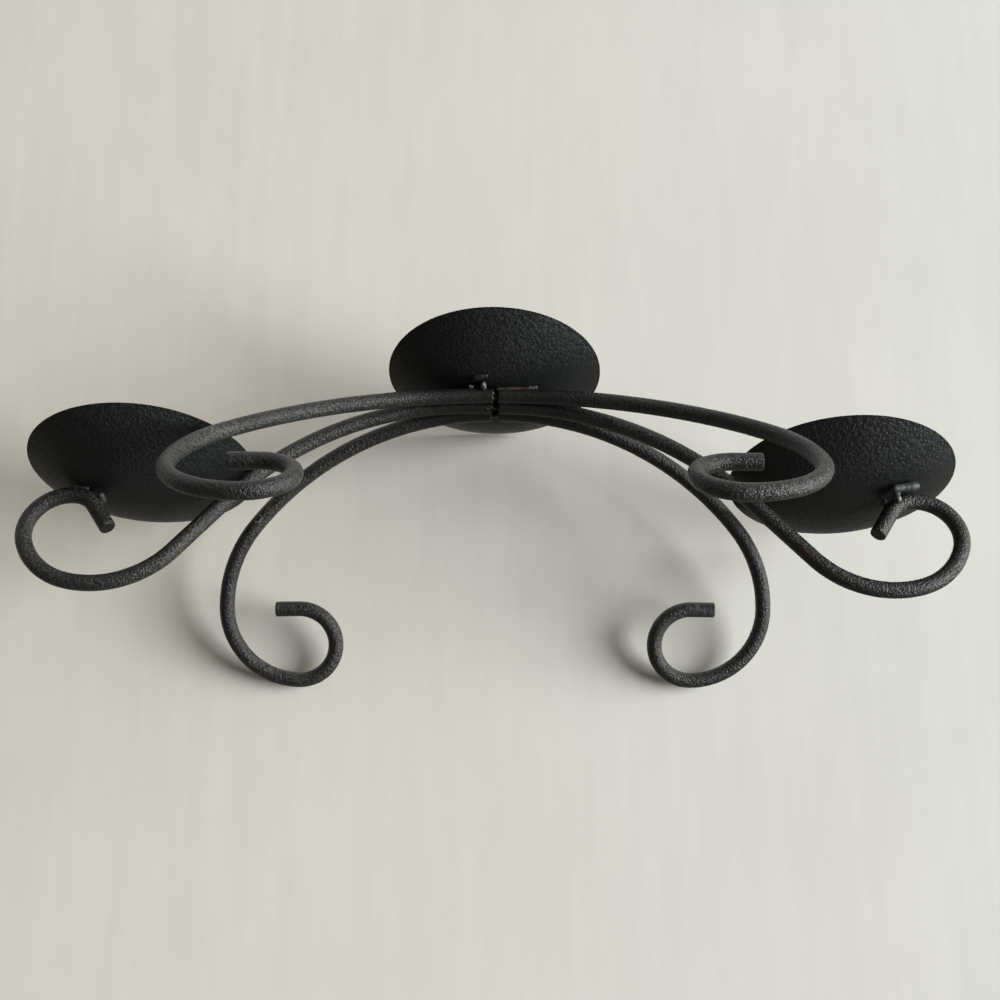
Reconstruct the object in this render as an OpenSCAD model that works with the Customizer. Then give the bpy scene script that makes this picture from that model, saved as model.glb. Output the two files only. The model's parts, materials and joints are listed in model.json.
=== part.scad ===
// Three-dish wrought bar torchere: two arched leg pairs splay front and back,
// a wide arm runs between them, and a shallow candle dish sits over each end
// and over the middle. Every bar is two mirrored halves that butt at the middle.
// The two arms are bent by eye and differ a little; the whole is set so that its
// box is centred. +Z is up and the feet stand on Z = 0.

/* [Bar] */
// Diameter of the coated round bar.
bar_d = 6.2; // [5.2:0.2:7]
// Gap between the two halves of each bar where they butt at the middle.
butt_gap = 1.2; // [0.8:0.1:2]

/* [Legs] */
// Angle of each leg pair from the vertical, front and back.
leg_splay = 37.5; // [32:0.5:42]
// Radius of the long arch that leaves the middle.
leg_crown_r = 127; // [122:1:132]
// Turn of that long arch.
leg_crown_turn = 51; // [48:0.5:54]
// Radius of the shoulder that brings the leg on to its plumb line.
leg_shoulder_r = 54; // [50:1:58]
// Radius of the foot that turns the leg back under itself.
leg_foot_r = 30; // [27.5:0.5:32.5]
// Radius of the curl above the foot.
leg_curl_r = 15; // [13.5:0.5:16.5]
// Turn of the curl.
leg_curl_turn = 181; // [165:1:195]
// Straight end of the curl.
leg_tail = 9.5; // [4:0.5:14]

/* [Arms] */
// How far the arm bars lie below the leg bars at the middle.
arm_drop = 0.8; // [0:0.1:2]
// Straight run of the left arm beside the butt gap.
left_run = 10.5; // [7:0.5:14]
// Radius of the left arm's long arch.
left_crown_r = 118; // [112:1:124]
// Turn of the left arm's long arch.
left_crown_turn = 51.5; // [49:0.5:54]
// Straight slope of the left arm between its arch and its scroll.
left_slope = 29; // [25:0.5:33]
// Straight run of the right arm beside the butt gap.
right_run = 0.5; // [0.5:0.5:4]
// Radius of the right arm's long arch.
right_crown_r = 128; // [122:1:134]
// Turn of the right arm's long arch.
right_crown_turn = 50; // [47.5:0.5:52.5]
// Straight slope of the right arm between its arch and its scroll.
right_slope = 32; // [28:0.5:36]
// Radius where each scroll starts to turn up.
arm_sweep_r = 37; // [34.5:0.5:39.5]
// Turn of that first part of each scroll.
arm_sweep_turn = 67; // [63:0.5:71]
// Radius of the outer side of each scroll.
arm_scroll_r = 26.5; // [25:0.5:28]
// Turn of the outer side of each scroll.
arm_scroll_turn = 52.5; // [48.5:0.5:56.5]
// Radius of the top of each scroll, where it turns inward.
arm_top_r = 15.5; // [14.5:0.5:16.5]
// Turn of the top of each scroll.
arm_top_turn = 116.5; // [112.5:0.5:120.5]
// Radius of the hooks that carry the side dishes.
arm_hook_r = 11; // [9:0.5:13]
// Turn of each hook.
arm_hook_turn = 51; // [42:1:60]
// Straight end of each hook.
arm_tail = 12; // [6:0.5:14]

/* [Dishes] */
// Outer diameter of each dish.
dish_d = 87; // [81:1:91]
// Outer depth of each dish.
dish_depth = 13; // [11:0.5:15]
// Thickness of the dish sheet with its coat.
sheet_t = 1.5; // [1:0.1:2]
// Forward tip of the middle and left dishes.
dish_tip = 1; // [0:0.5:3]
// Forward tip of the right dish.
right_tip = 0.5; // [0:0.5:3]
// Tip of the middle dish toward the right.
dish_cant = 0.5; // [0:0.5:3]
// Outward tip of the left dish.
left_cant = 0.5; // [0:0.5:3]
// Outward tip of the right dish.
right_cant = 1; // [0:0.5:3]
// How far the bottom of the middle dish sits forward of the middle.
dish_shift = 0.5; // [0:0.5:3]
// Where the left dish meets its hook: angle inboard from the hook's top.
left_seat = 15.5; // [12:0.5:19]
// Where the right dish meets its hook: angle inboard from the hook's top.
right_seat = 15; // [12:0.5:19]
// Forward roll of the left dish about its hook.
left_roll = 1.5; // [0:0.5:5]
// Backward roll of the right dish about its hook.
right_roll = 2; // [0:0.5:5]

/* [Welds] */
// Diameter of the weld plugs in the butt gap.
plug_d = 4.2; // [3:0.1:5]
// Radius of the weld beads.
bead_r = 1.4; // [1.2:0.1:1.8]
// Length of the long bead under the middle dish.
centre_bead_l = 12; // [8:1:14]
// Length of the bead along each hook.
hook_bead_l = 8; // [6:1:10]

/* [Hidden] */
bar_r = bar_d / 2;
half_gap = butt_gap / 2;
sides = 16;
black = [0.12, 0.12, 0.12];
lump_r = 1.4 * bead_r;
lump_turn = 33;
bead_start = 3;
// Each step of a bar is [length, 0] for a straight run or [radius, turn] for a bend;
// a positive turn heads down, a negative one heads up.
leg_steps = [
    [leg_crown_r, leg_crown_turn],
    [leg_shoulder_r, 90 - leg_crown_turn],
    [leg_foot_r, 90],
    [leg_curl_r, leg_curl_turn],
    [leg_tail, 0],
];
scroll_steps = [
    [arm_sweep_r, -arm_sweep_turn],
    [arm_scroll_r, -arm_scroll_turn],
    [arm_top_r, -arm_top_turn],
    [arm_hook_r, -arm_hook_turn],
    [arm_tail, 0],
];
left_steps = concat(
    [[left_run, 0], [left_crown_r, left_crown_turn], [left_slope, 0]], scroll_steps);
right_steps = concat(
    [[right_run, 0], [right_crown_r, right_crown_turn], [right_slope, 0]], scroll_steps);
// Leg bars lie either side of the arm bars and touch them at the middle.
leg_y = sqrt(bar_d * bar_d - arm_drop * arm_drop);
foot_drop = -after(leg_steps, 3)[1];
axis_z = foot_drop * cos(leg_splay) + bar_r - arm_drop;
// The butt gap stands right of the box's centre by half the difference of the arms.
middle_x = (reach(left_steps) - reach(right_steps)) / 2;
bowl_r = (dish_d * dish_d / 4 + dish_depth * dish_depth) / (2 * dish_depth);
// Centres of the spheres that the outer faces of the bowls belong to.
seat_r = bar_r + bowl_r;
centre_bowl = [
    0, -dish_shift,
    axis_z + arm_drop + sqrt(pow(seat_r, 2) - pow(leg_y - dish_shift, 2)),
];
left_bowl = side_bowl(-1, left_steps, left_seat, left_roll);
right_bowl = side_bowl(1, right_steps, right_seat, -right_roll);

// Pose [x, z, heading] part u of the way along one step.
function along(pose, step, u) =
    let (r = step[0], h = pose[2], turn = step[1] * u, s = sign(step[1]))
    s == 0
    ? [pose[0] + r * u * cos(h), pose[1] - r * u * sin(h), h]
    : [pose[0] + s * r * (sin(h + turn) - sin(h)),
       pose[1] + s * r * (cos(h + turn) - cos(h)), h + turn];
function after(steps, n) =
    n == 0 ? [half_gap, 0, 0] : along(after(steps, n - 1), steps[n - 1], 1);
function cuts(step) = step[1] == 0 ? ceil(step[0] / 16)
    : ceil(max(step[0] * abs(step[1]) * PI / 180 / 6, abs(step[1]) / 9));
function stations(steps, i = 0) = concat(
    [for (k = [0 : cuts(steps[i]) - 1]) along(after(steps, i), steps[i], k / cuts(steps[i]))],
    i + 1 == len(steps) ? [after(steps, i + 1)] : stations(steps, i + 1));
// How far out a scroll's centre line reaches.
function reach(steps) =
    let (p = after(steps, 5)) p[0] + arm_top_r * (1 + sin(p[2]));
// Centre of a hook's bend in the arm's own plane.
function hook_of(steps) =
    let (p = after(steps, 6)) [p[0] + arm_hook_r * sin(p[2]), p[1] + arm_hook_r * cos(p[2])];
// Sphere centre of a side dish that touches its hook.
function side_bowl(side, steps, seat, roll) =
    let (n = arm_hook_r + seat_r * cos(roll), h = hook_of(steps))
    [side * (h[0] - n * sin(seat)), -seat_r * sin(roll), axis_z + h[1] + n * cos(seat)];

// Round bar bent along the steps, with a corner of its section at angle phase.
module bent_bar(steps, phase) {
    line = stations(steps);
    rings = len(line);
    skin = [
        for (p = line, k = [0 : sides - 1])
            let (a = phase + k * 360 / sides, n = bar_r * cos(a), b = bar_r * sin(a))
            [p[0] + n * sin(p[2]), b, p[1] + n * cos(p[2])]
    ];
    sheets = [
        for (i = [0 : rings - 2], k = [0 : sides - 1])
            let (j = (k + 1) % sides, a = i * sides, b = a + sides)
            each [[a + k, a + j, b + j], [a + k, b + j, b + k]]
    ];
    ends = [
        for (k = [1 : sides - 2])
            each [[0, k + 1, k], (rings - 1) * sides * [1, 1, 1] + [0, k, k + 1]]
    ];
    polyhedron(skin, concat(sheets, ends));
}

module front_leg() {
    translate([0, -leg_y, axis_z + arm_drop]) rotate([-leg_splay, 0, 0])
        bent_bar(leg_steps, leg_splay);
}

module right_bar() {
    translate([0, 0, axis_z]) bent_bar(right_steps, 0);
}

module left_bar() {
    translate([0, 0, axis_z]) mirror([1, 0, 0]) bent_bar(left_steps, 0);
}

module dish() {
    rotate_extrude($fn = 96) intersection() {
        translate([0, bowl_r]) difference() {
            circle(r = bowl_r, $fn = 360);
            circle(r = bowl_r - sheet_t, $fn = 360);
        }
        square([dish_d / 2, dish_depth]);
    }
}

// Dish whose bowl has its sphere centre at c, tipped forward and to the right.
module dish_at(c, tip, cant) {
    translate(c) rotate([tip, cant, 0]) translate([0, 0, -bowl_r]) dish();
}

// One bend of a bar as an exact solid, to shape the welds against.
module bend(pose, r, turn) {
    translate([pose[0] + r * sin(pose[2]), 0, pose[1] + r * cos(pose[2])])
        rotate([90, 0, 0]) rotate([0, 0, -90 - pose[2]])
            rotate_extrude(angle = turn, $fn = 96) translate([r, 0])
                circle(r = bar_r, $fn = 48);
}

// Weld bead of length l along X with round ends.
module bead(l, r) {
    rotate([0, 90, 0]) rotate([0, 0, -90]) {
        cylinder(r = r, h = l, center = true, $fn = 32);
        for (z = [-l / 2, l / 2]) translate([0, 0, z]) sphere(r = r, $fn = 32);
    }
}

// Beads that hold a side dish: one along the front of the hook, one across its inner side.
module hook_beads(steps, seat, l) {
    translate([0, 0, axis_z]) difference() {
        translate([hook_of(steps)[0], 0, hook_of(steps)[1]]) rotate([0, -seat, 0]) {
            translate([l / 2 - bead_start, -bar_r - 0.3 * bead_r, arm_hook_r + 0.65 * bar_r])
                bead(l, bead_r);
            rotate([0, -lump_turn, 0])
                translate([0, 0, arm_hook_r + bar_r + 0.85 * lump_r])
                    rotate([0, 0, -90]) bead(bar_r, lump_r);
        }
        bend(after(steps, 6), arm_hook_r, arm_hook_turn);
        bend(after(steps, 5), arm_top_r, arm_top_turn);
    }
}

module set_out() {
    color(black) translate([middle_x, 0, 0]) children();
}

module right_front_leg() { set_out() front_leg(); }
module left_front_leg() { set_out() mirror([1, 0, 0]) front_leg(); }
module right_rear_leg() { set_out() mirror([0, 1, 0]) front_leg(); }
module left_rear_leg() { set_out() mirror([1, 0, 0]) mirror([0, 1, 0]) front_leg(); }
module right_arm() { set_out() right_bar(); }
module left_arm() { set_out() left_bar(); }
module centre_dish() { set_out() dish_at(centre_bowl, dish_tip, dish_cant); }
module left_dish() { set_out() dish_at(left_bowl, dish_tip, -left_cant); }
module right_dish() { set_out() dish_at(right_bowl, right_tip, right_cant); }

// Plugs that join the two halves of each bar.
module butt_weld() {
    set_out() for (p = [[-leg_y, arm_drop], [0, 0], [leg_y, arm_drop]])
        translate([0, p[0], axis_z + p[1]]) rotate([0, 90, 0])
            cylinder(d = plug_d, h = butt_gap, center = true, $fn = 48);
}

// Bead of length l in the crease between the right front leg and the middle dish.
module crease_bead(l) {
    difference() {
        translate([
            half_gap + bead_r + l / 2, -leg_y - 0.95 * bar_r,
            axis_z + arm_drop + 0.85 * bar_r
        ]) bead(l, bead_r);
        translate([0, -leg_y, axis_z + arm_drop]) rotate([-leg_splay, 0, 0])
            translate([half_gap, 0, -leg_crown_r]) rotate([90, 0, 0])
                rotate_extrude(angle = 90, $fn = 240) translate([leg_crown_r, 0])
                    circle(r = bar_r, $fn = 48);
    }
}

// A long bead right of the butt gap and a short one left of it.
module centre_weld() {
    set_out() difference() {
        union() {
            crease_bead(centre_bead_l);
            mirror([1, 0, 0]) crease_bead(centre_bead_l / 3);
        }
        translate(centre_bowl) sphere(r = bowl_r, $fn = 180);
    }
}

module right_dish_weld() {
    set_out() difference() {
        hook_beads(right_steps, right_seat, hook_bead_l);
        translate(right_bowl) sphere(r = bowl_r, $fn = 96);
    }
}

module left_dish_weld() {
    set_out() difference() {
        mirror([1, 0, 0]) hook_beads(left_steps, left_seat, hook_bead_l / 2);
        translate(left_bowl) sphere(r = bowl_r, $fn = 96);
    }
}

right_front_leg();
left_front_leg();
right_rear_leg();
left_rear_leg();
right_arm();
left_arm();
centre_dish();
left_dish();
right_dish();
butt_weld();
centre_weld();
left_dish_weld();
right_dish_weld();
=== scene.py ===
import json
import math

import bmesh
import bpy
import numpy as np
from mathutils import Matrix, Vector, noise

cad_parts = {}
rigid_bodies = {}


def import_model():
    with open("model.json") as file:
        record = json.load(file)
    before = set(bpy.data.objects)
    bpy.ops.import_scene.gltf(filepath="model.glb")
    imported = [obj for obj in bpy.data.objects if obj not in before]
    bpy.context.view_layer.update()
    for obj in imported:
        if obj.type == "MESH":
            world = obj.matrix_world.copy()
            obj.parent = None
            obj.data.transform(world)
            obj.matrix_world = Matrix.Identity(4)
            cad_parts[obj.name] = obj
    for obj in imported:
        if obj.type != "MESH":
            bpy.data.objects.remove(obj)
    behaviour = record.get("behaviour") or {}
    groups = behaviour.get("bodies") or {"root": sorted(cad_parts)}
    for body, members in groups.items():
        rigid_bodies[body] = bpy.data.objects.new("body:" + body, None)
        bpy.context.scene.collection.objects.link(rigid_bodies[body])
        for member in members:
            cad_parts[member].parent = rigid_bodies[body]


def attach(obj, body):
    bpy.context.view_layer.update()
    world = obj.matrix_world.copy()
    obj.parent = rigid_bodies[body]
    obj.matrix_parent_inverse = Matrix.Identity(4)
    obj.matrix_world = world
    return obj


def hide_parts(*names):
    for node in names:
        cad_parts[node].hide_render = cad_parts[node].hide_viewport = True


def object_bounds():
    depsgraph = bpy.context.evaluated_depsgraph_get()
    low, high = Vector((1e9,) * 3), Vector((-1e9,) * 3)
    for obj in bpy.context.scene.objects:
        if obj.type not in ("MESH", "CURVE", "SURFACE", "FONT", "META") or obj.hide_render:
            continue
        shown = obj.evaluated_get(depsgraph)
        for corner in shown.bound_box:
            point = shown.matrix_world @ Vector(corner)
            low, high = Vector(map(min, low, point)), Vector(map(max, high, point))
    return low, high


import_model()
cad_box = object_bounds()
MM = 0.001
BOX = np.array([list(corner) for corner in cad_box]) / MM

# ------------------------------------------------------------------ sizes (mm)
BAR_R = 3.1
HALF_GAP = 0.6
# how far the legs lean out from upright, and how far their axes lie over the arms'
SPLAY = math.radians(37.5)
DROP = 0.8
# a bar's steps from the middle outward: (bend radius, turn in degrees), or
# (length, 0) for a straight
LEG = [(127, 51), (54, 39), (30, 90), (15, 181), (9.5, 0)]
HOOK_R = 11
SCROLL = [(37, -67), (26.5, -52.5), (15.5, -116.5), (HOOK_R, -51), (12, 0)]
LEFT = [(10.5, 0), (118, 51.5), (29, 0)] + SCROLL
RIGHT = [(0.5, 0), (128, 50), (32, 0)] + SCROLL
DISH_R, DISH_H, DISH_WALL = 43.5, 13.0, 1.15
BOWL_R = (DISH_R ** 2 + DISH_H ** 2) / (2 * DISH_H)
# where around its hook each side dish is seated
LEFT_SEAT, RIGHT_SEAT = math.radians(15.5), math.radians(15)


def walk(steps, spacing=0.7):
    """Points (x, z), heading and arc length along a bar's steps."""
    x, z, heading, reach = HALF_GAP, 0.0, 0.0, 0.0
    out = [(x, z, heading, reach)]
    for size, turn in steps:
        if turn == 0:
            n = max(2, round(size / spacing))
            for k in range(1, n + 1):
                u = size * k / n
                out.append((x + u * math.cos(heading), z - u * math.sin(heading), heading, reach + u))
        else:
            t = math.radians(turn)
            side = 1 if t > 0 else -1
            n = max(3, round(size * abs(t) / spacing))
            for k in range(1, n + 1):
                a = heading + t * k / n
                out.append((x + side * size * (math.sin(a) - math.sin(heading)),
                            z + side * size * (math.cos(a) - math.cos(heading)), a,
                            reach + size * abs(t) * k / n))
        x, z, heading, reach = out[-1]
    return np.array(out)


def rot_x(a):
    c, s = math.cos(a), math.sin(a)
    return np.array([[1, 0, 0], [0, c, -s], [0, s, c]])


def rot_y(a):
    c, s = math.cos(a), math.sin(a)
    return np.array([[c, 0, s], [0, 1, 0], [-s, 0, c]])


# the legs lie against the arms, and their feet stand on the floor
foot = walk(LEG[:3])[-1]
LEG_Y = math.sqrt(4 * BAR_R ** 2 - DROP ** 2)
AXIS_Z = -foot[1] * math.cos(SPLAY) + BAR_R - DROP
LEG_Z = AXIS_Z + DROP
# the butt gap lies off the middle of the box, because the arms differ
MID_X = (walk(LEFT)[:, 0].max() - walk(RIGHT)[:, 0].max()) / 2


def hook_of(steps):
    """Centre of the hook's bend, the last step but one."""
    x, z, heading, _ = walk(steps[:-2])[-1]
    return x + HOOK_R * math.sin(heading), z + HOOK_R * math.cos(heading)


def side_bowl(side, steps, seat, roll):
    """Centre of the sphere of a dish that rests on a hook."""
    x, z = hook_of(steps)
    n = HOOK_R + (BAR_R + BOWL_R) * math.cos(roll)
    return np.array([MID_X + side * (x - n * math.sin(seat)), -(BAR_R + BOWL_R) * math.sin(roll),
                     AXIS_Z + z + n * math.cos(seat)])


def beyond_tail(side, steps, gap):
    """Point past an arm's free end, in line with it."""
    x, z, heading, _ = walk(steps)[-1]
    return (MID_X + side * (x + gap * math.cos(heading)), 0.0, AXIS_Z + z - gap * math.sin(heading))


# the middle dish lies slightly forward, so that the front legs carry it
CENTRE_SHIFT = 0.5
CENTRE_Z = LEG_Z + math.sqrt((BAR_R + BOWL_R) ** 2 - (LEG_Y - CENTRE_SHIFT) ** 2)
# centre of each bowl's sphere, forward tip and tip to the right in degrees
BOWLS = {
    "centre": (np.array([MID_X, -CENTRE_SHIFT, CENTRE_Z]), 1.0, 0.5),
    "left": (side_bowl(-1, LEFT, LEFT_SEAT, math.radians(1.5)), 1.0, -0.5),
    "right": (side_bowl(1, RIGHT, RIGHT_SEAT, math.radians(-2)), 0.5, 1.0),
}

# ------------------------------------------------------------------- shaders


class Nodes:
    """Short hand for building a node tree."""

    def __init__(self, tree):
        self.tree = tree
        tree.nodes.clear()

    def add(self, kind, **props):
        n = self.tree.nodes.new(kind)
        for k, v in props.items():
            setattr(n, k, v)
        return n

    def link(self, a, b):
        self.tree.links.new(a, b)

    def put(self, socket, v):
        if isinstance(v, bpy.types.NodeSocket):
            self.link(v, socket)
        else:
            socket.default_value = v

    def coords(self, space="Object"):
        return self.add("ShaderNodeTexCoord").outputs[space]

    def part(self, vec, axis):
        """One component of a vector."""
        n = self.add("ShaderNodeSeparateXYZ")
        self.link(vec, n.inputs[0])
        return n.outputs[axis]

    def noise(self, vec, scale, detail, rough=0.5, dist=0.0):
        n = self.add("ShaderNodeTexNoise")
        self.link(vec, n.inputs["Vector"])
        n.inputs["Scale"].default_value = scale
        n.inputs["Detail"].default_value = detail
        n.inputs["Roughness"].default_value = rough
        n.inputs["Distortion"].default_value = dist
        return n.outputs["Fac"]

    def voronoi(self, vec, scale):
        n = self.add("ShaderNodeTexVoronoi", feature="SMOOTH_F1")
        self.link(vec, n.inputs["Vector"])
        n.inputs["Scale"].default_value = scale
        return n.outputs["Distance"]

    def ramp(self, fac, lo, hi, a=0.0, b=1.0, smooth=True):
        """Value that goes from a to b while fac goes from lo to hi."""
        n = self.add("ShaderNodeMapRange", interpolation_type="SMOOTHSTEP" if smooth else "LINEAR")
        self.put(n.inputs["Value"], fac)
        n.inputs["From Min"].default_value = lo
        n.inputs["From Max"].default_value = hi
        n.inputs["To Min"].default_value = a
        n.inputs["To Max"].default_value = b
        return n.outputs["Result"]

    def math(self, op, *values):
        n = self.add("ShaderNodeMath", operation=op)
        for socket, v in zip(n.inputs, values):
            self.put(socket, v)
        return n.outputs[0]

    def vector(self, op, vec, other, out="Vector"):
        n = self.add("ShaderNodeVectorMath", operation=op)
        self.link(vec, n.inputs[0])
        n.inputs[1].default_value = other
        return n.outputs[out]

    def mix(self, fac, a, b):
        n = self.add("ShaderNodeMix", data_type="RGBA")
        self.put(n.inputs["Factor"], fac)
        self.put(n.inputs[6], a)
        self.put(n.inputs[7], b)
        return n.outputs[2]

    def mix_shader(self, fac, a, b):
        n = self.add("ShaderNodeMixShader")
        self.link(fac, n.inputs[0])
        self.link(a, n.inputs[1])
        self.link(b, n.inputs[2])
        return n.outputs[0]

    def output(self, shader, kind="ShaderNodeOutputMaterial"):
        self.link(shader, self.add(kind).inputs["Surface"])


def material(name):
    mat = bpy.data.materials.new(name)
    mat.use_nodes = True
    return mat, Nodes(mat.node_tree)


def spot(centre, radius, colour, amount, **more):
    """A mark's settings, places and sizes in mm."""
    return dict(centre=centre, radius=radius, colour=colour, amount=amount, **more)


def mark(n, v, col, centre, radius, colour, amount, ring=0.0, warp=0.9, cut=None):
    """Lay a ragged spot over col, or a thin ring when ring is its line width."""

    def far_from(place):
        return n.vector("DISTANCE", v, tuple(c * MM for c in place), "Value")

    ragged = n.math("MULTIPLY", n.math("SUBTRACT", n.noise(v, 900, 2.0), 0.5), radius * MM * warp)
    far = n.math("ADD", far_from(centre), ragged)
    if ring:
        off = n.math("ABSOLUTE", n.math("SUBTRACT", far, radius * MM))
        shape = n.ramp(off, ring * MM, ring * MM * 0.5)
    else:
        shape = n.ramp(far, radius * MM * 1.15, radius * MM * 0.7)
    if cut:
        place, clear = cut
        shape = n.math("MULTIPLY", shape, n.ramp(far_from(place), clear * MM * 0.9, clear * MM))
    return n.mix(n.math("MULTIPLY", shape, amount), col, colour)


def painted(n, col, rough, specular, height, lift):
    """Paint shader with a bump of lift mm, sent to the material's output."""
    b = n.add("ShaderNodeBump")
    b.inputs["Strength"].default_value = 1.0
    b.inputs["Distance"].default_value = lift * MM
    n.link(height, b.inputs["Height"])
    p = n.add("ShaderNodeBsdfPrincipled")
    n.link(col, p.inputs["Base Color"])
    n.link(rough, p.inputs["Roughness"])
    p.inputs["Specular IOR Level"].default_value = specular
    n.link(b.outputs["Normal"], p.inputs["Normal"])
    n.output(p.outputs["BSDF"])


# ----------------------------------------------------------------- materials
# the grain's three noises and its dust patches, in cells per metre
COARSE, FINE, CELLS, PATCHES = 820, 2000, 1250, 45
# how much each noise counts for in the grain's height and in its paler tops (dust, wear and painted
# highlight)
COARSE_HIGH, FINE_HIGH, CELLS_HIGH = 0.9, 0.4, 0.22
COARSE_PALE_TOPS, FINE_PALE_TOPS = 0.55, 0.45


def coat(name, grain, lift, dark, pale, rough, specular, grainy, marks=()):
    """Black paint with a sandy wrinkle: grain sets its size, lift its height (mm).

    grainy gives the share of the grain that is left at each place.
    """
    mat, n = material(name)
    v = n.coords()
    coarse = n.noise(v, COARSE / grain, 2.0, 0.5)
    fine = n.noise(v, FINE / grain, 2.0, 0.6)
    bumps = n.ramp(n.voronoi(v, CELLS / grain), 0.1, 0.75, 1.0, 0.0)
    patch = n.noise(v, PATCHES, 3.0, 0.6)
    share = grainy(n, v)
    height = n.math("ADD", n.math("MULTIPLY", bumps, CELLS_HIGH),
                    n.math("ADD", n.math("MULTIPLY", coarse, COARSE_HIGH),
                           n.math("MULTIPLY", fine, FINE_HIGH)))
    height = n.math("MULTIPLY", height, share)
    # grain tops are painted paler, partly as dust and wear and partly as a painted highlight of light
    # caught on the grain; hollows stay black
    top = n.math("ADD", n.math("MULTIPLY", fine, FINE_PALE_TOPS), n.math("MULTIPLY", coarse, COARSE_PALE_TOPS))
    top = n.ramp(top, 0.42, 0.62)
    dust_and_highlight = n.math("MULTIPLY", top, n.ramp(patch, 0.3, 0.7, 0.35, 1.0))
    dust_and_highlight = n.math("MULTIPLY", dust_and_highlight, share)
    col = n.mix(dust_and_highlight, dark, pale)
    for m in marks:
        col = mark(n, v, col, **m)
    painted(n, col, n.ramp(coarse, 0.35, 0.65, *rough), specular, height, lift)
    return mat


def grainy_front(n, v):
    """The dishes' coat is grainy toward the front and smooth toward the rear."""
    wander = n.math("MULTIPLY", n.math("SUBTRACT", n.noise(v, 60, 2.0), 0.5), 20 * MM)
    return n.ramp(n.math("ADD", n.part(v, "Y"), wander), -3 * MM, -20 * MM, 0.08, 1.0)


def grainy_ends(n, v):
    """The bars' coat is smooth near the middle of the stand."""
    return n.ramp(n.math("ABSOLUTE", n.part(v, "X")), 14 * MM, 60 * MM, 0.3, 1.0)


def weld_paint(marks):
    """Thin paint over lumpy weld, with a little rust in it."""
    mat, n = material("weld_coat")
    v = n.coords()
    lump = n.noise(v, 420, 4.0, 0.6)
    fine = n.noise(v, 1900, 2.0, 0.6)
    rust = n.ramp(n.noise(v, 260, 4.0, 0.65, 0.4), 0.60, 0.72)
    col = n.mix(n.ramp(lump, 0.35, 0.65), (0.026, 0.029, 0.028, 1), (0.046, 0.050, 0.047, 1))
    col = n.mix(n.math("MULTIPLY", rust, 0.4), col, (0.06, 0.022, 0.010, 1))
    for m in marks:
        col = mark(n, v, col, **m)
    height = n.math("ADD", lump, n.math("MULTIPLY", fine, 0.3))
    painted(n, col, n.ramp(lump, 0.3, 0.7, 0.46, 0.62), 0.35, height, 0.12)
    return mat


RUST = (0.075, 0.03, 0.017, 1)
BEAD_RUST = (0.065, 0.031, 0.018, 1)
BEAD_BROWN = (0.010, 0.009, 0.008, 1)
# bare metal, also used for painted highlights
BARE_METAL_AND_HIGHLIGHT = (0.26, 0.25, 0.235, 1)
# a painted highlight on a raised curl of paint
CURL_HIGHLIGHT = (0.24, 0.22, 0.19, 1)
# near-black tones used as painted shade
DARK_PAINTED_SHADE = (0.006, 0.006, 0.006, 1)
DEEP_PAINTED_SHADE = (0.005, 0.005, 0.005, 1)
BLACK_PAINTED_SHADE = (0.003, 0.003, 0.003, 1)

BAR_MARKS = [
    # painted shade: the bars are darkened near the middle, under the middle dish and between the
    # bars, the rear ones most
    spot((1.0, -2.0, 90.0), 30.0, DARK_PAINTED_SHADE, 0.45, warp=0.1),
    spot((1.0, 14.0, 90.0), 20.0, DEEP_PAINTED_SHADE, 0.75, warp=0.1),
    # scratch and chips on the right arm
    spot((117.6, -2.8, 22.0), 0.8, RUST, 0.9),
    spot((118.8, -2.8, 20.3), 0.8, RUST, 0.8),
    spot((119.9, -2.4, 18.4), 0.3, BARE_METAL_AND_HIGHLIGHT, 0.6),
    spot((121.2, -1.9, 16.1), 0.35, BARE_METAL_AND_HIGHLIGHT, 0.9),
    # painted shade: the arms' cropped ends, turned away from the light, are painted near black
    spot(beyond_tail(1, RIGHT, 2.2), 3.9, BLACK_PAINTED_SHADE, 0.85, warp=0.2),
    spot(beyond_tail(-1, LEFT, 2.2), 3.9, BLACK_PAINTED_SHADE, 0.85, warp=0.2),
    # pale points at the torn ends
    spot((0.3, -9.1, 90.3), 0.32, BARE_METAL_AND_HIGHLIGHT, 0.9),
    spot((-2.1, -1.9, 88.0), 0.30, BARE_METAL_AND_HIGHLIGHT, 0.7),
    spot((-0.8, -2.0, 88.0), 0.25, BARE_METAL_AND_HIGHLIGHT, 0.7),
    spot((-1.0, 4.8, 88.4), 0.40, BARE_METAL_AND_HIGHLIGHT, 0.6),
    # a curl raised in the coat of the left rear leg, painted as a pale arc on its right side only: a
    # painted highlight where the curl catches the light
    spot((-96.6, 29.7, 55.2), 1.7, CURL_HIGHLIGHT, 0.9, ring=0.3, warp=0.3, cut=((-98.5, 29.3, 56.2), 2.3)),
]
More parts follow.
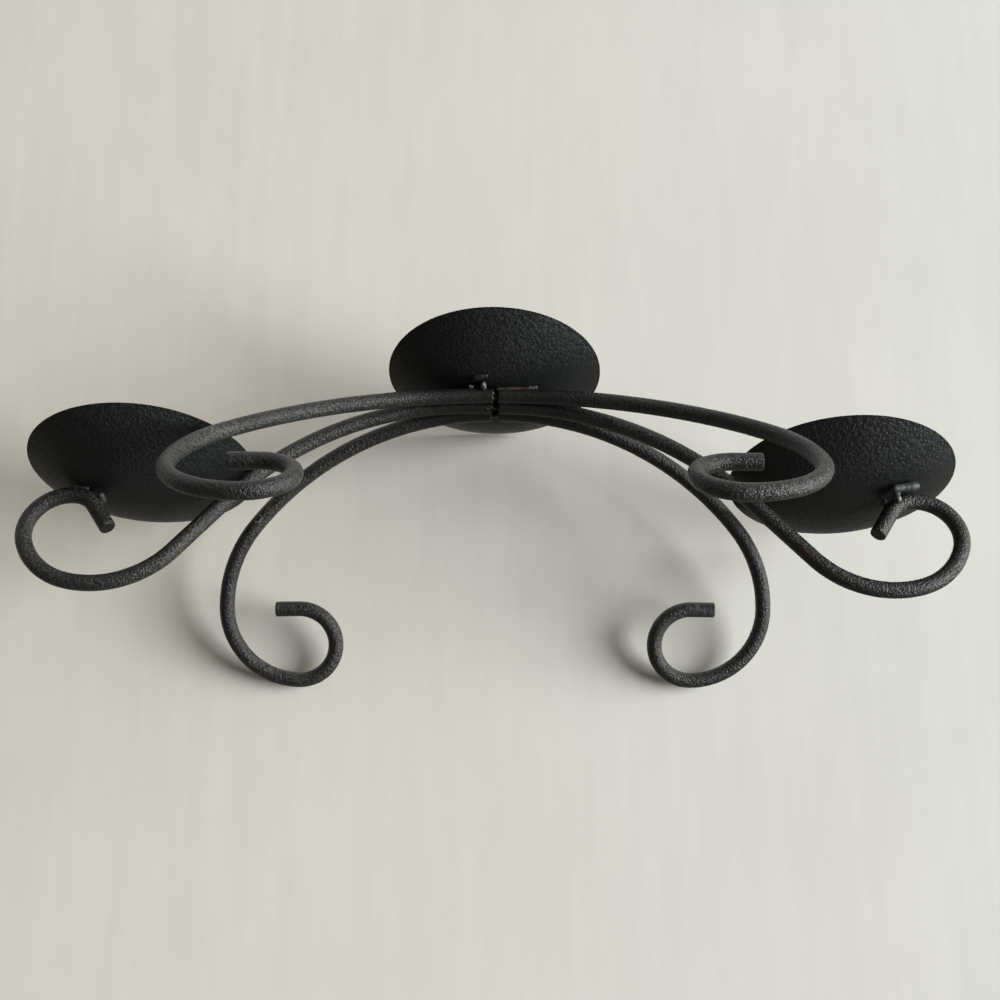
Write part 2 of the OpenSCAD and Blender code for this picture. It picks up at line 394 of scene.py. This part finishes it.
WELD_MARKS = [
    # painted shade: the plugs in the butt gaps are painted near black, as the gaps' shade
    spot((MID_X, -LEG_Y, LEG_Z), 3.4, BLACK_PAINTED_SHADE, 0.95),
    spot((MID_X, 0, AXIS_Z), 3.4, BLACK_PAINTED_SHADE, 0.95),
    spot((MID_X, LEG_Y, LEG_Z), 3.4, BLACK_PAINTED_SHADE, 0.95),
    # the bead under the middle dish is darkened to near black, with rust on top
    spot((7.5, -9.3, 93.2), 7.0, BEAD_BROWN, 0.8, warp=0.2),
    spot((9.0, -9.4, 93.4), 2.8, BEAD_RUST, 0.7),
    spot((6.0, -9.4, 93.4), 1.4, BEAD_RUST, 0.4),
    # painted shade and highlights: the spatter left of the gap, under the middle dish, is painted
    # dark, with painted highlights as bright points
    spot((-5.4, -13.6, 95.8), 4.8, DARK_PAINTED_SHADE, 0.85, warp=0.2),
    spot((-4.0, -10.6, 93.6), 1.1, BARE_METAL_AND_HIGHLIGHT, 0.6),
    spot((-1.6, -14.6, 95.8), 0.5, BARE_METAL_AND_HIGHLIGHT, 0.5),
    spot((-9.0, -9.9, 93.4), 0.5, BARE_METAL_AND_HIGHLIGHT, 0.6),
    # painted highlights on the lumps at the right hook's tail
    spot((155.2, -5.6, 43.4), 1.0, BARE_METAL_AND_HIGHLIGHT, 0.6),
    spot((158.6, -3.5, 44.6), 0.6, BARE_METAL_AND_HIGHLIGHT, 0.45),
]

bar_coat = coat("bar_coat", grain=0.85, lift=0.62, dark=(0.0085, 0.009, 0.0084, 1),
                pale=(0.060, 0.063, 0.058, 1), rough=(0.32, 0.48), specular=0.38,
                grainy=grainy_ends, marks=BAR_MARKS)
dish_coat = coat("dish_coat", grain=1.25, lift=0.60, dark=(0.0095, 0.0112, 0.0106, 1),
                 pale=(0.0230, 0.0270, 0.0255, 1), rough=(0.44, 0.56), specular=0.22,
                 grainy=grainy_front)
weld_coat = weld_paint(WELD_MARKS)

# --------------------------------------------------------------------- pieces


def make(name, verts, faces, mat, nodes):
    """Smooth mesh object from mm points, riding the root in place of its CAD nodes."""
    me = bpy.data.meshes.new(name)
    me.from_pydata([tuple(v) for v in (np.asarray(verts) * MM).tolist()], [], faces)
    me.update()
    ob = bpy.data.objects.new(name, me)
    bpy.context.collection.objects.link(ob)
    me.materials.append(mat)
    for p in me.polygons:
        p.use_smooth = True
    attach(ob, "root")
    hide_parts(*nodes)
    return ob


def wobble(pts, scale, seed):
    """Noise of one size at each point."""
    shift = Vector((seed * 7.3, seed * 3.1, seed * 5.7))
    return np.array([noise.noise(Vector(p) * scale + shift) for p in pts.tolist()])


def fbm(pts, scale, seed, octaves=3):
    """Noise of several sizes at each point, each finer and weaker than the last."""
    out = np.zeros(len(pts))
    amp, total = 1.0, 0.0
    for k in range(octaves):
        out += amp * wobble(pts, scale * 2.1 ** k, seed + k)
        total += amp
        amp *= 0.55
    return out / total


# rings that round the cut edge over at a bar's ends: (inset in mm, share of the radius)
END_RINGS = ((0.0, 0.0), (0.0, 0.3), (0.0, 0.6), (0.0, 0.84), (0.12, 0.945), (0.35, 0.99))
END_CLEAR = 0.6
SIDES = 40
# height of the bars' long waves and of their pits (mm)
WAVE, PIT = 0.035, 0.045
# raggedness of the torn edge and of the cropped one (mm)
TORN_EDGE, CROPPED_EDGE = 1.7, 0.10
# length over which the torn end is drawn out, and the least and the extra that it may be
# burnt back (mm)
TORN_LENGTH, TORN_LEAST, TORN_EXTRA = 4, 0.03, 0.8


def bar(name, steps, place, flip, seed, lumps=(), burn=0.3):
    """Round bar swept along its steps; place maps mm points in its plane to the frame.

    The butted end is torn and burnt back by about burn mm, the free end is cropped clean.
    Each of lumps is (reach, angle in degrees, height, half length, half angle).
    """
    line = walk(steps)
    total = line[-1, 3]
    insets = [inset for inset, share in END_RINGS]
    shares = [share for inset, share in END_RINGS]
    inner = [s for s in line[:, 3] if END_CLEAR < s < total - END_CLEAR]
    reach = np.array(insets + inner + [total - inset for inset in reversed(insets)])
    share = np.array(shares + [1.0] * len(inner) + shares[::-1])
    x, z, heading = (np.interp(reach, line[:, 3], line[:, k]) for k in (0, 1, 2))
    angle = np.linspace(0, 2 * math.pi, SIDES, endpoint=False)
    zero = np.zeros_like(x)
    base = np.stack([x, zero, z], 1)[:, None, :]
    outward = np.stack([np.sin(heading), zero, np.cos(heading)], 1)
    along = np.stack([np.cos(heading), zero, -np.sin(heading)], 1)
    normal = (np.cos(angle)[None, :, None] * outward[:, None, :]
              + np.sin(angle)[None, :, None] * np.array([0, 1.0, 0])[None, None, :])
    plain = base + normal * BAR_R * share[:, None, None]
    skin = place(plain.reshape(-1, 3)) + seed * 17.0
    uneven = WAVE * fbm(skin, 0.16, seed) + PIT * fbm(skin, 0.75, seed + 5, 2)
    radius = BAR_R + uneven.reshape(len(reach), SIDES)
    for at, turn, height, half_length, half_angle in lumps:
        off = (angle[None, :] - math.radians(turn) + math.pi) % (2 * math.pi) - math.pi
        radius = radius + height * np.exp(-((reach[:, None] - at) / half_length) ** 2
                                          - (off / math.radians(half_angle)) ** 2)
    pts = base + normal * (radius * share[:, None])[:, :, None]
    n_end = len(END_RINGS)
    ragged = TORN_EDGE * fbm(pts[n_end] + seed * 9.0, 0.6, seed + 9, 3)
    torn = np.clip(burn + ragged, TORN_LEAST, burn + TORN_EXTRA)
    for i, s in enumerate(reach):
        if s < TORN_LENGTH:
            pts[i] += along[i] * (torn * (1 - s / TORN_LENGTH) ** 1.6)[:, None]
        if i > len(reach) - n_end:
            pts[i] -= along[i] * (CROPPED_EDGE * np.abs(fbm(pts[i], 0.9, seed + 9, 2)))[:, None]
    verts = np.clip(place(pts.reshape(-1, 3)), BOX[0], BOX[1])
    # the first and last rings have no radius, and single points stand in for them
    body = verts[SIDES:-SIDES]
    tips = [verts[:SIDES].mean(0), verts[-SIDES:].mean(0)]
    first, last = len(body), len(body) + 1
    ring = [(k, (k + 1) % SIDES) for k in range(SIDES)]
    faces = [[first, j, k] for k, j in ring]
    for i in range(0, len(body) - SIDES, SIDES):
        faces += [[i + k, i + j, i + SIDES + j, i + SIDES + k] for k, j in ring]
    faces += [[len(body) - SIDES + k, len(body) - SIDES + j, last] for k, j in ring]
    if not flip:
        faces = [f[::-1] for f in faces]
    return make(name, np.vstack([body, tips]), faces, bar_coat, [name])


def leg_place(side, back):
    """Leg plane to frame: side is 1 to the right, back is 1 to the rear."""
    splay = rot_x(-SPLAY)

    def to_frame(p):
        q = p @ splay.T + np.array([0, -LEG_Y, LEG_Z])
        return q * np.array([side, -back, 1.0]) + np.array([MID_X, 0, 0])
    return to_frame


def arm_place(side):
    return lambda p: p * np.array([side, 1.0, 1.0]) + np.array([MID_X, 0, AXIS_Z])


bar("right_front_leg", LEG, leg_place(1, -1), False, 1, [
    (106.5, 150, 0.28, 0.9, 26), (109.6, 140, 0.22, 1.0, 24), (112.4, 144, 0.2, 0.7, 22),
    (143.2, 178, 0.2, 0.9, 24)])
bar("left_front_leg", LEG, leg_place(-1, -1), True, 2)
bar("right_rear_leg", LEG, leg_place(1, 1), True, 3)
bar("left_rear_leg", LEG, leg_place(-1, 1), False, 4, burn=1.1)
bar("right_arm", RIGHT, arm_place(1), False, 5)
bar("left_arm", LEFT, arm_place(-1), True, 6, burn=1.2)

# the bowl's sphere ends at RIM_Z, and the rim's worn corners follow as (radius, height)
RIM_Z = 12.75
RIM = [(43.40, 12.86), (43.42, 12.94), (43.34, 12.98), (43.1, 13.0), (42.6, 13.0),
       (42.1, 12.98), (41.7, 12.93), (41.35, 12.86)]
DISH_RINGS, DISH_SIDES = 44, 220
# sag of the rim and depth of the pits (mm)
SAG, DISH_PIT = 0.096, 0.02


def dish(name, centre, tip, cant, seed):
    """Pressed bowl with a rounded rim."""

    def bowl(r):
        """Points (radius, height) from the bottom to the rim on a sphere of radius r."""
        edge = math.asin(math.sqrt(r * r - (BOWL_R - RIM_Z) ** 2) / r)
        turns = [edge * k / DISH_RINGS for k in range(1, DISH_RINGS + 1)]
        return [(r * math.sin(t), BOWL_R - r * math.cos(t)) for t in turns]

    profile = np.array(bowl(BOWL_R) + RIM + bowl(BOWL_R - DISH_WALL)[::-1])
    angle = np.linspace(0, 2 * math.pi, DISH_SIDES, endpoint=False)
    pts = np.stack([profile[:, 0, None] * np.cos(angle), profile[:, 0, None] * np.sin(angle),
                    np.repeat(profile[:, 1, None], DISH_SIDES, 1)], 2).reshape(-1, 3)
    reach = np.hypot(pts[:, 0], pts[:, 1]) / DISH_R
    # gentle hand-pressed unevenness, stronger toward the rim
    waves = fbm(pts * np.array([1, 1, 0]) + seed * 31.0, 0.018, seed, 2)
    sag = -SAG * reach ** 2 * (0.5 + 0.5 * waves)
    pit = DISH_PIT * fbm(pts + seed * 13.0, 0.6, seed + 3, 2)
    normal = pts - np.array([0, 0, BOWL_R])
    normal /= np.linalg.norm(normal, axis=1)[:, None]
    pts = pts - normal * np.abs(pit)[:, None]
    pts[:, 2] += sag
    verts = np.vstack([pts, [[0, 0, 0.0]], [[0, 0, DISH_WALL]]])
    turn = rot_y(math.radians(cant)) @ rot_x(math.radians(tip))
    verts = (verts - np.array([0, 0, BOWL_R])) @ turn.T + centre
    ring = [(k, (k + 1) % DISH_SIDES) for k in range(DISH_SIDES)]
    outside, inside = len(pts), len(pts) + 1
    last = len(pts) - DISH_SIDES
    faces = []
    for i in range(0, last, DISH_SIDES):
        faces += [[i + k, i + DISH_SIDES + k, i + DISH_SIDES + j, i + j] for k, j in ring]
    for k, j in ring:
        faces.append([outside, k, j])
        faces.append([inside, last + j, last + k])
    return make(name, verts, faces, dish_coat, [name])


for i, (key, seating) in enumerate(BOWLS.items()):
    dish(key + "_dish", *seating, 20 + i)

# ---------------------------------------------------------------------- welds


def blobs(name, balls, voxel, seed, rough=0.1):
    """Weld metal: overlapping balls (x, y, z, radius) merged, smoothed and roughened."""
    me = bpy.data.meshes.new(name + "_raw")
    bm = bmesh.new()
    for x, y, z, r in balls:
        bmesh.ops.create_icosphere(bm, subdivisions=3, radius=r, matrix=Matrix.Translation((x, y, z)))
    bm.to_mesh(me)
    bm.free()
    ob = bpy.data.objects.new(name + "_raw", me)
    bpy.context.collection.objects.link(ob)
    remesh = ob.modifiers.new("remesh", "REMESH")
    remesh.mode = "VOXEL"
    remesh.voxel_size = voxel
    ob.modifiers.new("smooth", "SMOOTH").iterations = 3
    deps = bpy.context.evaluated_depsgraph_get()
    merged = bpy.data.meshes.new_from_object(ob.evaluated_get(deps))
    verts = np.array([v.co[:] for v in merged.vertices])
    normals = np.array([v.normal[:] for v in merged.vertices])
    faces = [list(p.vertices) for p in merged.polygons]
    bpy.data.objects.remove(ob)
    bpy.data.meshes.remove(merged)
    verts = verts + normals * (rough * fbm(verts + seed * 11.0, 0.7, seed, 3))[:, None]
    return make(name, verts, faces, weld_coat, [name])


def chain(a, b, n, r0, r1, jitter, seed):
    """Balls along a line, closely set so that they merge into one smooth bead."""
    rng = np.random.default_rng(seed)
    a, b = np.array(a, float), np.array(b, float)
    sway = rng.normal(0, jitter, (4, 3))
    out = []
    for k in range(n):
        u = k / (n - 1)
        off = sum(sway[j] * math.sin((j + 1) * math.pi * u + 1.7 * j) for j in range(4))
        bulge = 1 + 0.06 * math.sin(9 * u + seed) + 0.03 * math.sin(23 * u + 2 * seed)
        out.append((*(a + (b - a) * u + off), (r0 + (r1 - r0) * u) * bulge))
    return out


# plugs in the butt gaps, which reach further left where the left bar is burnt back more
PLUG_BALLS, PLUG_R = 14, 1.2
balls = []
for i, (y, z, to_left) in enumerate(((-LEG_Y, LEG_Z, 0.5), (0, AXIS_Z, 1.7), (LEG_Y, LEG_Z, 1.7))):
    rng = np.random.default_rng(60 + i)
    for k in range(PLUG_BALLS):
        turn, out = rng.uniform(0, 2 * math.pi), rng.uniform(0.1, 1.4)
        x = MID_X + rng.uniform(-to_left, 0.4)
        balls.append((x, y + out * math.cos(turn), z + out * math.sin(turn), rng.uniform(0.55, 0.85)))
    balls.append((MID_X, y, z, PLUG_R))
# spatter at the joint's front
balls += [(0.3, -9.0, 90.0, 0.3), (-0.2, -8.6, 88.9, 0.25), (-0.9, -2.3, 88.2, 0.4),
          (0.2, -2.6, 87.6, 0.3), (-0.6, 4.4, 88.4, 0.3)]
blobs("butt_weld", balls, voxel=0.13, seed=41, rough=0.2)

# bead in the crease under the middle dish
balls = chain((2.0, -8.9, 92.5), (12.6, -8.7, 92.8), 40, 0.85, 0.75, 0.04, 3)
balls += chain((12.6, -8.7, 92.8), (17.0, -8.6, 93.6), 18, 0.8, 0.75, 0.03, 5)
# lumps of spatter left of the gap
balls += chain((-6.6, -13.0, 95.6), (-3.0, -13.8, 95.5), 24, 1.6, 0.95, 0.0, 4)
balls += chain((-4.0, -10.6, 94.0), (-4.0, -9.6, 93.2), 10, 1.1, 1.3, 0.0, 5)
balls += chain((-9.3, -9.2, 93.4), (-8.5, -9.2, 93.4), 6, 0.75, 0.75, 0.02, 6)
blobs("centre_weld", balls, voxel=0.18, seed=42, rough=0.05)


# how far around its hook from the dish's seat the inner bead lies
INNER_BEAD = math.radians(33)


def across(side, steps, seat, radius, half, seed):
    """Balls of the bead across the inner side of a hook, under its dish."""
    x, z = hook_of(steps)
    rng = np.random.default_rng(seed)
    t = seat + INNER_BEAD
    w = HOOK_R + BAR_R + 0.85 * radius
    return [(MID_X + side * (x - w * math.sin(t)), half * (k / 6 - 1) + rng.normal(0, 0.05),
             AXIS_Z + z + w * math.cos(t) + rng.normal(0, 0.05), radius * (1 + 0.04 * rng.normal()))
            for k in range(13)]


# right hook: a loose bead on the dish, lumps where the tail turns down
balls = chain((152.6, -9.7, 45.4), (161.0, -8.2, 47.5), 48, 1.4, 1.9, 0.0, 7)
balls += chain((153.8, -7.0, 45.4), (155.0, -4.4, 43.2), 16, 1.5, 1.15, 0.06, 8)
balls += across(1, RIGHT, RIGHT_SEAT, 1.15, 1.1, 9)
blobs("right_dish_weld", balls, voxel=0.18, seed=43, rough=0.05)

# left hook: a thin run of weld along the crease, and the bead behind the tail
balls = chain((-162.8, -2.2, 50.3), (-156.2, -2.9, 48.9), 24, 0.75, 0.8, 0.05, 10)
balls += across(-1, LEFT, LEFT_SEAT, 1.2, 1.6, 12)
blobs("left_dish_weld", balls, voxel=0.18, seed=44)

# --------------------------------------------------------------------- camera
# the view fitted to the photograph: focal length in pixels of a 1000 px frame, place in
# mm from the butt gap, and the lens axis's rise, turn to the right and roll in degrees
PHOTO_PX = 1000
FOCAL_PX = 1245.25
SENSOR = 36.0
CAMERA_AT = (0.537, -408.109, -298.533)
RISE, TURN, ROLL = (math.radians(a) for a in (31.8939, 0.1719, -0.0592))

ahead = np.array([math.cos(RISE) * math.sin(TURN), math.cos(RISE) * math.cos(TURN), math.sin(RISE)])
level = np.array([math.cos(TURN), -math.sin(TURN), 0])
below = np.cross(ahead, level)
right = math.cos(ROLL) * level + math.sin(ROLL) * below
down = math.cos(ROLL) * below - math.sin(ROLL) * level

camera = bpy.data.cameras.new("camera")
camera.sensor_width = SENSOR
camera.lens = FOCAL_PX / PHOTO_PX * SENSOR
camera.clip_start = 0.01
camera_ob = bpy.data.objects.new("camera", camera)
bpy.context.collection.objects.link(camera_ob)
camera_place = np.array(CAMERA_AT) + np.array([MID_X, 0, AXIS_Z])
pose = np.eye(4)
pose[:3] = np.stack([right, -down, -ahead, camera_place * MM], 1)
camera_ob.matrix_world = Matrix(pose.tolist())
bpy.context.scene.camera = camera_ob

# ---------------------------------------------------------------------- stage


# tone of the stage surfaces: soft patches and long streaks (cells per metre), and how much
# darker they get
SOFT, STREAKS, STREAK_SHAPE, DARKER = 9, 110, (1.0, 0.12, 0.12), 0.05
# painted light: a surface's lighter, warmer left colour goes over into its own between these X (m)
PAINTED_LIGHT_UP_TO, OWN_FROM = -0.30, 0.30


def one_sided(name, colour, left=None):
    """Pale stage paint seen from the front only; left is a lighter, warmer colour at the far left, as
    painted light.
    """
    mat, n = material(name)
    v = n.coords()
    drawn = n.vector("MULTIPLY", v, STREAK_SHAPE)
    tone = n.math("ADD", n.math("MULTIPLY", n.noise(v, SOFT, 4.0, 0.6), 0.5),
                  n.math("MULTIPLY", n.noise(drawn, STREAKS, 3.0, 0.6), 0.5))
    col = colour
    if left:
        # painted light: the colour turns lighter and warmer toward the left
        col = n.mix(n.ramp(n.part(v, "X"), PAINTED_LIGHT_UP_TO, OWN_FROM, smooth=False), left, col)
    col = n.mix(n.ramp(tone, 0.35, 0.65, DARKER, 0.0), col, (0, 0, 0, 1))
    d = n.add("ShaderNodeBsdfDiffuse")
    n.link(col, d.inputs["Color"])
    clear = n.add("ShaderNodeBsdfTransparent")
    behind = n.add("ShaderNodeNewGeometry").outputs["Backfacing"]
    n.output(n.mix_shader(behind, d.outputs[0], clear.outputs[0]))
    return mat


def plane(name, centre, ex, ey, half, mat):
    """Square stage surface along ex and ey; half is half its side (m)."""
    ex, ey, centre = np.array(ex), np.array(ey), np.array(centre)
    vs = [centre + half * (sx * ex + sy * ey) for sx, sy in ((-1, -1), (1, -1), (1, 1), (-1, 1))]
    me = bpy.data.meshes.new(name)
    me.from_pydata([tuple(float(q) for q in v) for v in vs], [], [(0, 1, 2, 3)])
    ob = bpy.data.objects.new(name, me)
    me.materials.append(mat)
    bpy.context.collection.objects.link(ob)
    return ob


FLOOR_HALF, BOARD_HALF = 1.8, 2.2
FLOOR_BELOW, BOARD_BEHIND = 0.0001, 0.0003
floor = plane("floor", (0, 0, -FLOOR_BELOW), (1, 0, 0), (0, 1, 0), FLOOR_HALF,
              one_sided("floor_white", (0.80, 0.79, 0.77, 1)))
floor.visible_diffuse = False
floor.visible_glossy = False
floor.visible_shadow = False
floor.visible_transmission = False

# the sheet the stand lies on in the photograph leans behind it and touches
# the middle dish's rear rim and the rear feet
TILT = math.radians(18.24)
back = np.array([0, math.cos(TILT), math.sin(TILT)])
up = np.array([0, -math.sin(TILT), math.cos(TILT)])


def reach_back(ob):
    """How far a mesh object comes toward the sheet (m)."""
    co = np.empty(len(ob.data.vertices) * 3)
    ob.data.vertices.foreach_get("co", co)
    return float((co.reshape(-1, 3) @ back).max())


far = max(reach_back(ob) for ob in bpy.data.objects
          if ob.type == "MESH" and ob != floor and not ob.hide_render)
# the sheet is painted lighter and warmer toward its left: painted light
board = plane("board", back * (far + BOARD_BEHIND), (1, 0, 0), up, BOARD_HALF,
              one_sided("board_white", (0.712, 0.704, 0.686, 1), (0.840, 0.796, 0.722, 1)))
board.visible_shadow = False
board.visible_diffuse = False
board.visible_glossy = False

# --------------------------------------------------------------------- lights


# the lamps point at the stand's middle
mid = np.array([0.0, 0.0, 0.06])


def area(name, pos, size, power, colour):
    """Round lamp of a size in m and a power in W, turned toward the stand's middle."""
    lamp = bpy.data.lights.new(name, "AREA")
    lamp.shape = "DISK"
    lamp.size = size
    lamp.energy = power
    lamp.color = colour
    ob = bpy.data.objects.new(name, lamp)
    ob.location = pos
    ob.rotation_euler = (Vector(mid) - Vector(pos)).to_track_quat("-Z", "Y").to_euler()
    bpy.context.collection.objects.link(ob)
    return ob


def from_board(to_right, above, out, distance):
    """A lamp's place, in a direction given along, up and out of the board (m)."""
    d = np.array([to_right, 0, 0]) + above * up - out * back
    return tuple(mid + d / np.linalg.norm(d) * distance)


area("window", from_board(2.5, -0.05, 1.0, distance=3.2), size=2.4, power=240,
     colour=(0.94, 0.98, 0.965))
ceiling = area("ceiling", (0.3, 0.35, 1.9), size=1.4, power=22, colour=(1.0, 0.98, 0.95))
ceiling.visible_glossy = False

# the room's light: strongest from WINDOW_SIDE, and even from behind the sheet
WINDOW_SIDE = (0.87, 0.0, 0.49)
ROOM_LEAST, ROOM_MOST, ROOM_BEHIND = 0.015, 0.54, 0.17
ROOM_COLOUR = (1.0, 0.89, 0.74, 1)
BACKGROUND = (0.78, 0.775, 0.76, 1)
# share of the background that the paint mirrors, from the horizon down and from above
MIRRORED_LOW, MIRRORED_HIGH, HIGH_FROM = 0.15, 0.9, 0.6

world = bpy.data.worlds.new("world")
bpy.context.scene.world = world
world.use_nodes = True
w = Nodes(world.node_tree)
sky = w.coords("Generated")
toward = w.math("MULTIPLY_ADD", w.vector("DOT_PRODUCT", sky, WINDOW_SIDE, "Value"), 0.5, 0.5)
room = w.math("MULTIPLY_ADD", w.math("POWER", toward, 2.0), ROOM_MOST, ROOM_LEAST)
fill = w.add("ShaderNodeMix", data_type="FLOAT")
behind = w.vector("DOT_PRODUCT", sky, tuple(float(c) for c in back), "Value")
w.link(w.math("GREATER_THAN", behind, 0.0), fill.inputs[0])
w.link(room, fill.inputs[2])
fill.inputs[3].default_value = ROOM_BEHIND
lit = w.add("ShaderNodeBackground")
lit.inputs["Color"].default_value = ROOM_COLOUR
w.link(fill.outputs[0], lit.inputs["Strength"])
pale = w.add("ShaderNodeBackground")
pale.inputs["Color"].default_value = BACKGROUND

# the pale background is what the camera and the mirroring paint see
rays = w.add("ShaderNodeLightPath")
share = w.ramp(w.part(sky, "Z"), 0.0, HIGH_FROM, MIRRORED_LOW, MIRRORED_HIGH, smooth=False)
seen = w.math("MAXIMUM", rays.outputs["Is Camera Ray"], rays.outputs["Is Transmission Ray"])
seen = w.math("MAXIMUM", seen, w.math("MULTIPLY", rays.outputs["Is Glossy Ray"], share))
w.output(w.mix_shader(seen, lit.outputs[0], pale.outputs[0]), "ShaderNodeOutputWorld")

bpy.context.scene.view_settings.view_transform = "Standard"
